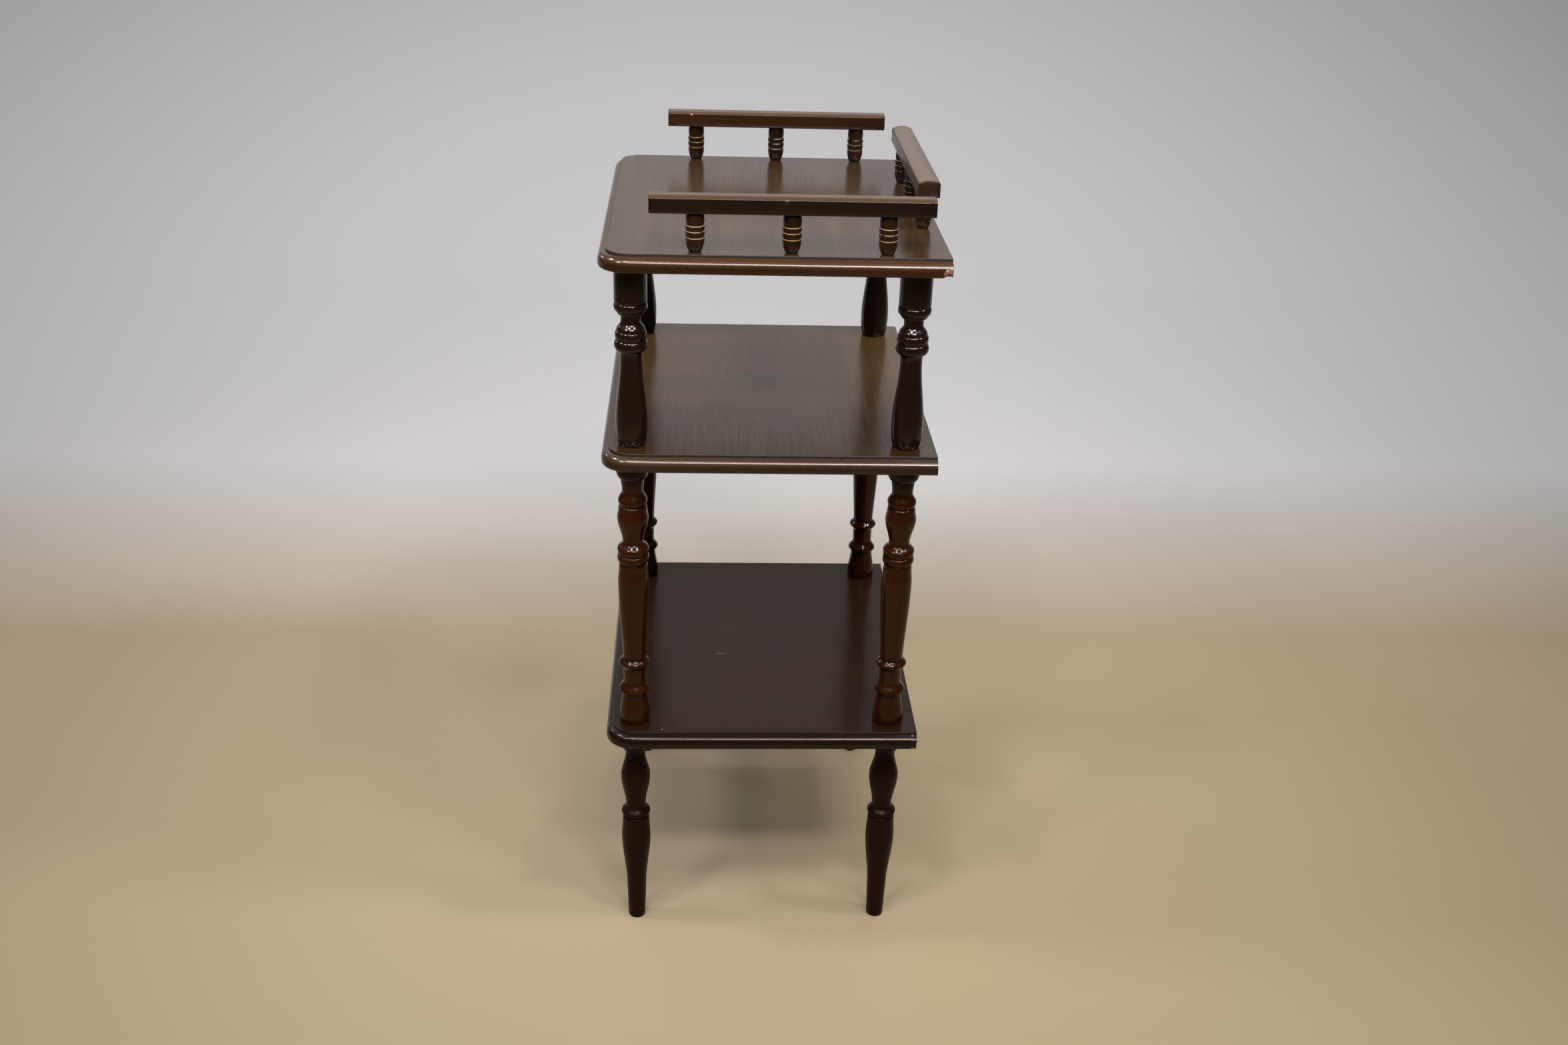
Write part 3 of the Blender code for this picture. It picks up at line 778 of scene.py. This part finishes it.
def outline_of(top_radius, height, cuts):
    """Points (radius, height) in millimetres down a turning that stands on 0."""
    rest = height - sum(drop for _, drop, _ in cuts if drop is not REST)
    points = [(top_radius, height)]
    for cut, drop, radius in cuts:
        points += cut(points[-1], rest if drop is REST else drop, radius)
    return points


print("A short S curve takes", OGEE_STEPS, "points and a long one", SWEEP_STEPS)

# %% [markdown]
# ## The four turnings
#
# The upper posts, the lower posts, the legs and the gallery's spindles each have a chain of their own. It
# starts with the radius at the top. Each row is a cut, how far it drops and the radius at its end, in
# millimetres, from the top down. The row that says REST takes whatever height is left.

# %% The four turnings
UPPER_POST = (13.4, (
    (straight, 29.9, 13.4),
    (bulge, 1.7, 12.3),
    (bulge, 3.3, 13.8),
    (bulge, 3.9, 11.3),
    (straight, 0.6, 11.3),
    (bulge, 2.6, 8.5),
    (hollow, 5.6, 8.1),
    (ogee, 7.0, 11.7),
    (bulge, 0.8, 11.2),
    (bulge, 3.9, 13.1),
    (bulge, 3.7, 11.4),
    (bulge, 4.5, 13.8),
    (bulge, 4.6, 10.9),
    (hollow, 7.0, 9.0),
    (sweep, REST, 13.4),
    (bulge, 19.5, 10.7),
))

LOWER_POST = (12.6, (
    (bulge, 8.5, 13.8),
    (bulge, 7.9, 10.0),
    (sweep, 11.9, 9.0),
    (ogee, 8.3, 12.4),
    (bulge, 4.6, 9.9),
    (bulge, 4.0, 12.3),
    (ogee, 7.5, 13.4),
    (sweep, 23.2, 9.0),
    (ogee, 6.8, 13.6),
    (bulge, 5.2, 11.8),
    (bulge, 3.3, 13.8),
    (bulge, 4.6, 11.1),
    (bulge, 4.0, 12.4),
    (sweep, 14.0, 13.4),
    (taper, REST, 9.9),
    (ogee, 5.6, 13.6),
    (ogee, 6.2, 9.8),
    (sweep, 13.0, 9.6),
    (ogee, 8.2, 13.8),
    (bulge, 2.2, 10.8),
    (sweep, 26.0, 13.8),
    (bulge, 4.5, 13.2),
))

LEG = (12.6, (
    (bulge, 7.5, 13.8),
    (bulge, 8.5, 10.1),
    (hollow, 6.0, 9.0),
    (sweep, 24.0, 13.4),
    (sweep, 33.0, 9.0),
    (ogee, 6.6, 13.3),
    (bulge, 3.0, 10.3),
    (straight, 0.9, 10.3),
    (bulge, 3.5, 12.4),
    (sweep, 20.0, 13.4),
    (sweep, REST, 9.0),
    (straight, 35.0, 7.9),
    (bulge, 1.2, 7.0),
))

SPINDLE = (6.0, (
    (bulge, 6.2, 7.4),
    (bulge, 4.1, 6.6),
    (bulge, 2.3, 7.7),
    (bulge, 2.3, 6.6),
    (bulge, 2.5, 7.7),
    (bulge, 2.6, 6.7),
    (bulge, 2.3, 7.5),
    (barrel, REST, 4.8),
))
print("Cuts in each turning:", [len(turning[1]) for turning in (UPPER_POST, LOWER_POST, LEG, SPINDLE)])

# %% [markdown]
# ## Spinning an outline
#
# Blender's Screw modifier would spin an outline too. Writing the rings directly is as short, and lets each
# point carry a number: how deep it sits in a groove. Stain gathers in grooves, and painted shade darkens
# them as well, so the wood is darker there.
# Lacquer also fills the sharp bottom of a groove and rounds the crest of a bead, so every crease of the
# outline is rounded by a third of a millimetre first.

# %% Creases and grooves
CREASE_ANGLE = math.radians(14)
LACQUER_FILLET = 0.35
GROOVE_REACH = 4.0
CREASE_SHARE = 0.45


def soften(points):
    """Round each crease of an outline, as lacquer does."""
    soft = [points[0]]
    for before, here, after in zip(points, points[1:], points[2:]):
        before, corner, after = Vector(before), Vector(here), Vector(after)
        arrive, leave = corner - before, after - corner
        if arrive.angle(leave) < CREASE_ANGLE:
            soft.append(tuple(corner))
            continue
        first = corner - arrive.normalized() * min(LACQUER_FILLET, arrive.length * CREASE_SHARE)
        last = corner + leave.normalized() * min(LACQUER_FILLET, leave.length * CREASE_SHARE)
        soft += [tuple(first), tuple((first + 2 * corner + last) / 4), tuple(last)]
    return soft + [points[-1]]


def groove_depth(points):
    """How far each point sits below its neighbours within a few millimetres, in millimetres."""
    depths = []
    for radius, height in points:
        near = [r for r, h in points if abs(h - height) < GROOVE_REACH]
        depths.append(max(0.0, sum(near) / len(near) - radius))
    return depths


print("Creases are rounded by", LACQUER_FILLET, "mm")

# %% The lathe


def spin(name, turning, sides, material, foot, head):
    """Spin a turning between two heights, on the axis of the solid it replaces."""
    low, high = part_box(name)
    x, y = (low.x + high.x) / 2, (low.y + high.y) / 2
    top_radius, cuts = turning
    outline = soften(outline_of(top_radius, (head - foot) / MM, cuts))
    points, faces, grooves = [], [], []
    for (radius, height), depth in zip(outline, groove_depth(outline)):
        for j in range(sides):
            angle = 2 * math.pi * j / sides
            across, along = radius * MM * math.cos(angle), radius * MM * math.sin(angle)
            points.append((x + across, y + along, foot + height * MM))
            grooves.append(depth)
    for i in range(len(outline) - 1):
        for j in range(sides):
            k = (j + 1) % sides
            faces.append((i * sides + j, (i + 1) * sides + j, (i + 1) * sides + k, i * sides + k))
    last = (len(outline) - 1) * sides
    faces.append(tuple(range(sides)))
    faces.append(tuple(reversed(range(last, last + sides))))
    piece = add_piece(name, points, faces, [material])
    store(piece, "groove", grooves)
    return piece


leg_low, leg_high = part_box("leg_front_left")
leg_outline = soften(outline_of(LEG[0], (leg_high.z - leg_low.z) / MM, LEG[1]))
deepest = max(groove_depth(leg_outline))
print("A leg takes", len(leg_outline), "rings, and its deepest groove is", round(deepest, 1), "mm")

# %% [markdown]
# ## Posts and legs
#
# The lower posts show a warm red-brown, and the upper posts and the legs took more stain and are nearly
# black. That is one turned hardwood under one gloss lacquer, so one function makes all three with a
# different pair of stains. Even a shallow groove is darker, with stain that gathers there and painted shade,
# and only deep ones lose their gloss.

# %% Stained turnings
POST_SIDES = 64
GROOVE_STAIN_AND_SHADE = "#120805"


def turned_mahogany(name, dark, light, shine, roughness=0.15):
    """Turned hardwood with a mahogany stain, darker in its grooves with stain and painted shade, under gloss
    lacquer.
    """
    material, tree = new_material(name)
    colour = wood_colour(tree, "z", dark, light, bands=0.25, fine=0.18, pores=0.15)
    groove = add_node(tree, "Attribute", attribute_name="groove").outputs["Fac"]
    # Grooves darker: stain that gathers there, and painted shade.
    darker = add_node(tree, "MapRange", {
        "Value": groove, "From Min": 0.1, "From Max": 1.6, "To Min": 0.0, "To Max": 0.75}).outputs[0]
    colour = add_node(tree, "Mix", {"Factor": darker, "A": colour, "B": linear(GROOVE_STAIN_AND_SHADE)},
                      data_type="RGBA").outputs["Result"]
    shader = lacquer(tree, colour, "z", roughness, ripple=0.01, shine=shine)
    dull = add_node(tree, "MapRange", {
        "Value": groove, "From Min": 1.6, "From Max": 2.8, "To Min": 0.0, "To Max": 0.7}).outputs[0]
    dull_in_grooves(tree, shader, dull)
    finish_material(tree, shader)
    return material


upper_wood = turned_mahogany("turned_mahogany_near_black", "#140a07", "#20110b", shine=0.42)
lower_wood = turned_mahogany("turned_mahogany_red_brown", "#220f03", "#361705", shine=0.21)
leg_wood = turned_mahogany("turned_mahogany_dark", "#150905", "#251007", shine=0.08, roughness=0.3)
STOREYS = (
    ("upper_post_", UPPER_POST, upper_wood),
    ("lower_post_", LOWER_POST, lower_wood),
    ("leg_", LEG, leg_wood),
)
for kind, turning, wood in STOREYS:
    for corner in CORNERS:
        low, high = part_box(kind + corner)
        spin(kind + corner, turning, POST_SIDES, wood, low.z, high.z)
print("Turned:", len(STOREYS) * len(CORNERS), "posts and legs")

# %% [markdown]
# ## Gallery spindles
#
# Each spindle is a small turning with two beads. Three grooves were once picked out in a gold colour, which
# has mostly worn to broken lines: strong on some spindles and nearly gone on others. A line follows the
# groove's height, and streaked noise breaks it up round the spindle. The table says how much is left, where
# 1 is nearly all of it, and its colour. On left_2 the grey lines are painted highlights, not gilt.

# %% Spindles
SPINDLE_SIDES = 40
GILT_HEIGHTS = (21.2, 16.6, 11.5)
GILT_HALF_WIDTH = 0.27
GILT_BREAKS_MM = (5.0, 14)
ALL_WORN, NONE_WORN, WORN_EDGE = 0.72, 0.27, 0.08
SPINDLE_GROOVE_STAIN_AND_SHADE = "#150a06"
GILT_AND_GLINT_LEFT = {
    "right_1": (0.8, "#8f8476"), "right_2": (0.95, "#957545"), "right_3": (0.65, "#8f8262"),
    # Painted highlights: left_2's grey lines stand for glints in its grooves, not gilt.
    "left_1": (0.85, "#7c5a28"), "left_2": (0.5, "#7d7a74"), "left_3": (0.65, "#7c6140"),
    "back_1": (0.3, "#8c7448"), "back_2": (0.2, "#8c7448"), "back_3": (0.2, "#8c7448"),
}


def gilt_lines(tree):
    """1 on the gilt lines and 0 off them, from the height above the spindle's foot."""
    place = add_node(tree, "TexCoord").outputs["Object"]
    height = add_node(tree, "SeparateXYZ", {0: place}).outputs["Z"]
    mask = 0.0
    for line in GILT_HEIGHTS:
        centre = SHELF_TOPS["top_shelf"] + line * MM
        near = add_node(tree, "Math", {0: height, 1: centre, 2: GILT_HALF_WIDTH * MM},
                        operation="COMPARE").outputs[0]
        mask = add_node(tree, "Math", {0: mask, 1: near}, operation="MAXIMUM").outputs[0]
    return mask


def spindle_wood(name, left, gilt):
    """Turned and stained like the posts, with the gilt lines that are left; left_2's are painted highlights.
    """
    material, tree = new_material(name)
    colour = wood_colour(tree, "z", "#190d05", "#2d1b0c", bands=0.4, fine=0.25, pores=0.15)
    groove = add_node(tree, "Attribute", attribute_name="groove").outputs["Fac"]
    # Grooves darker: stain that gathers there, and painted shade.
    darker = add_node(tree, "MapRange", {
        "Value": groove, "From Min": 0.1, "From Max": 0.6, "To Min": 0.0, "To Max": 0.75}).outputs[0]
    colour = add_node(tree, "Mix", {"Factor": darker, "A": colour, "B": linear(SPINDLE_GROOVE_STAIN_AND_SHADE)},
                      data_type="RGBA").outputs["Result"]
    worn = ALL_WORN - (ALL_WORN - NONE_WORN) * left
    breaks = add_node(tree, "MapRange", {
        "Value": streaks(tree, "z", GILT_BREAKS_MM, 2.0, 1.3), "From Min": worn, "From Max": worn + WORN_EDGE,
        "To Min": 0.0, "To Max": 1.0}).outputs[0]
    mask = add_node(tree, "Math", {0: gilt_lines(tree), 1: breaks}, operation="MULTIPLY").outputs[0]
    finish_material(tree, lacquer(tree, colour, "z", roughness=0.14, ripple=0.01, shine=0.4), [(mask, gilt)])
    return material


for place, (left, gilt) in GILT_AND_GLINT_LEFT.items():
    foot, head = SHELF_TOPS["top_shelf"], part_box("gallery_rail_" + place.split("_")[0])[0].z
    wood = spindle_wood("turned_mahogany_gilt_" + place, left, gilt)
    spin("gallery_spindle_" + place, SPINDLE, SPINDLE_SIDES, wood, foot, head)
print("Spindles:", len(GILT_AND_GLINT_LEFT))

# %% [markdown]
# ## Gallery rails
#
# A rail is a plain strip with a gently crowned top, cut off square. Its arrises are sanded by a third of a
# millimetre, and that thin rounding is what catches the light along the edges. The crown's stain is paler
# than the sides', as painted light on the faces that look up. The section is drawn once and repeated along
# the rail, a little smaller at both ends. The sections are closer together round a chip in the top arris.

# %% A rail's section and stations
RAIL_HALF_WIDTH = 9.0
RAIL_SIDE_HEIGHT = 11.9
RAIL_CROWN = 2.3
ARRIS = 0.35
ARRIS_MIDDLE = 0.15
CROWN_ARRIS_MIDDLE = 0.12
SIDE_PARTS = (0.35, 0.6, 0.8, 0.9)
CROWN_STEPS = 16
STATION_SPACING = 8.0
CHIP_STATION_SPACING = 0.7
CHIP_STATION_REACH = 5.0


def rail_section(shrink=0.0):
    """Points (across, up) in millimetres, anticlockwise, seen from the end of the rail."""
    half, base = RAIL_HALF_WIDTH - shrink, shrink
    shoulder = RAIL_SIDE_HEIGHT - shrink
    points = [(-half + ARRIS, base), (half - ARRIS, base)]
    points += [(half - ARRIS_MIDDLE, base + ARRIS_MIDDLE), (half, base + ARRIS)]
    points += [(half, shoulder * part) for part in SIDE_PARTS]
    points += [(half, shoulder - ARRIS), (half - CROWN_ARRIS_MIDDLE, shoulder - CROWN_ARRIS_MIDDLE)]
    for i in range(CROWN_STEPS + 1):
        across = (half - ARRIS) * (1 - 2 * i / CROWN_STEPS)
        points.append((across, shoulder + RAIL_CROWN * (1 - (across / half) ** 2)))
    points += [(-half + CROWN_ARRIS_MIDDLE, shoulder - CROWN_ARRIS_MIDDLE), (-half, shoulder - ARRIS)]
    points += [(-half, shoulder * part) for part in reversed(SIDE_PARTS)]
    return points + [(-half, base + ARRIS), (-half + ARRIS_MIDDLE, base + ARRIS_MIDDLE)]


def stations(low, high, chip):
    """Places along a rail, in millimetres, each with how much the section shrinks there."""
    count = round((high - low) / STATION_SPACING)
    inner = [low + (high - low) * i / count for i in range(1, count)]
    if chip is not None:
        inner = [s for s in inner if abs(s - chip) > CHIP_STATION_REACH]
        steps = int(CHIP_STATION_REACH / CHIP_STATION_SPACING)
        inner += [chip + i * CHIP_STATION_SPACING for i in range(-steps, steps + 1)]
    ends = [(low, ARRIS), (low + ARRIS_MIDDLE, ARRIS_MIDDLE), (low + ARRIS, 0.0)]
    ends += [(high - ARRIS, 0.0), (high - ARRIS_MIDDLE, ARRIS_MIDDLE), (high, ARRIS)]
    return sorted(ends + [(s, 0.0) for s in inner])


print("A rail's section has", len(rail_section()), "points")

# %% [markdown]
# ## Laying the rails
#
# A rail is planed strip with the same stain and lacquer as the rest, and two finishes: dark, dull sides and
# a smoother crown, whose paler colour is painted light. A face gets the crown's finish where it faces up.
# Each side rail has one nick in its top arris, where bare wood shows.

# %% Rails
CROWN_FACES_UP = 0.85


def rail_wood(name, along, dark, light, roughness, spots):
    """Planed strip with the same stain and lacquer."""
    material, tree = new_material(name)
    colour = wood_colour(tree, along, dark, light, bands=0.4, fine=0.2, pores=0.15)
    finish_material(tree, lacquer(tree, colour, along, roughness, ripple=0.01), bare_spots(tree, spots))
    return material


def make_rail(side, along, sides, crown, spots=()):
    """Lay a rail along its solid, with stains for its sides and paler ones, painted light, for its crown."""
    name = "gallery_rail_" + side
    low, high = (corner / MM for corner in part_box(name))
    along_x = along == "x"
    middle_across = (low.y + high.y) / 2 if along_x else (low.x + high.x) / 2
    ends = (low.x, high.x) if along_x else (low.y, high.y)
    points, sections = [], stations(*ends, chip=spots[0][0][1] if spots else None)
    for place, shrink in sections:
        for across, up in rail_section(shrink):
            if along_x:
                points.append((place * MM, (middle_across + across) * MM, (low.z + up) * MM))
            else:
                points.append(((middle_across - across) * MM, place * MM, (low.z + up) * MM))
    count = len(rail_section())
    faces = [tuple(reversed(range(count)))]
    for i in range(len(sections) - 1):
        for j in range(count):
            k = (j + 1) % count
            faces.append((i * count + j, i * count + k, (i + 1) * count + k, (i + 1) * count + j))
    last = (len(sections) - 1) * count
    faces.append(tuple(range(last, last + count)))
    rail = add_piece(name, points, faces, [
        rail_wood("planed_mahogany_" + side, along, *sides, roughness=0.26, spots=spots),
        rail_wood("painted_light_crown_mahogany_" + side, along, *crown, roughness=0.2, spots=spots)
    ])
    for polygon in rail.data.polygons:
        # Painted light: faces that look up get the crown's paler colour.
        polygon.material_index = 1 if polygon.normal.z > CROWN_FACES_UP else 0
    return rail


NEAR_CHIP = (166.0, 7.7, 705.3)
FAR_CHIP = (-148.0, -67.5, 705.4)
# Each rail's second pair of stains, for the crown, is paler as painted light.
near_rail = make_rail("right", "y", ("#150b05", "#1f1109"), ("#422e1d", "#4f3a28"),
                      [(NEAR_CHIP, (1.1, 1.8, 0.9), 0.25, "#4e4028")])
far_rail = make_rail("left", "y", ("#241207", "#361e0d"), ("#422d1c", "#4f3925"),
                     [(FAR_CHIP, (1.1, 1.2, 0.7), 0.25, "#b8aa80")])
make_rail("back", "x", ("#23150c", "#342216"), ("#4c3a2e", "#5c4a3d"))
print("Points knocked:", knock(near_rail, NEAR_CHIP, (1.4, 2.4, 1.3), (-0.5, 0.0, -0.35)),
      knock(far_rail, FAR_CHIP, (1.4, 1.8, 1.2), (-0.4, 0.0, -0.3)))

# %% [markdown]
# ## What holds it together
#
# No fastener shows. Stands like this are commonly held by steel studs through the lower boards and by plain
# dowels under the top one, so the solids have those, and their own shapes are kept here. The studs are
# rolled steel with a thin zinc plating: a pale grey metal, faintly mottled and only half glossy. The dowels
# are turned beech, not finished: pale, matt and straight in the grain.

# %% Studs and dowels
SPANGLE_MM = 2
ZINC = ("#c3c4bf", "#d3d4d0")
BEECH = ("#b98f63", "#d2ae82")


def zinc_plated_steel():
    """Steel with faint zinc spangle in its colour and gloss."""
    material, tree = new_material("zinc_plated_steel")
    place = add_node(tree, "TexCoord").outputs["Object"]
    spangle = add_node(tree, "TexNoise", {"Vector": place, "Scale": 1 / (SPANGLE_MM * MM)}).outputs["Fac"]
    share = add_node(tree, "MapRange", {
        "Value": spangle, "From Min": 0.35, "From Max": 0.65, "To Min": 0.0, "To Max": 1.0}).outputs[0]
    colour = add_node(tree, "Mix", {"Factor": share, "A": linear(ZINC[0]), "B": linear(ZINC[1])},
                      data_type="RGBA").outputs["Result"]
    rough = add_node(tree, "MapRange", {
        "Value": spangle, "From Min": 0.3, "From Max": 0.7, "To Min": 0.3, "To Max": 0.42}).outputs[0]
    shader = add_node(tree, "BsdfPrincipled", {"Base Color": colour, "Roughness": rough, "Metallic": 1.0})
    add_node(tree, "OutputMaterial", {"Surface": shader.outputs[0]})
    return material


def plain_beech():
    """Bare turned beech."""
    material, tree = new_material("plain_beech")
    colour = wood_colour(tree, "z", *BEECH, bands=0.3, fine=0.4, pores=0.0)
    shader = add_node(tree, "BsdfPrincipled", {"Base Color": colour, "Roughness": BARE_ROUGHNESS})
    add_node(tree, "OutputMaterial", {"Surface": shader.outputs[0]})
    return material


hidden_finishes = {"stud": zinc_plated_steel(), "dowel": plain_beech()}
for name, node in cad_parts.items():
    for kind, material in hidden_finishes.items():
        if "_" + kind + "_" in name:
            node.data.materials.clear()
            node.data.materials.append(material)
print("Hidden pieces:", len([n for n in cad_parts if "_stud_" in n or "_dowel_" in n]))
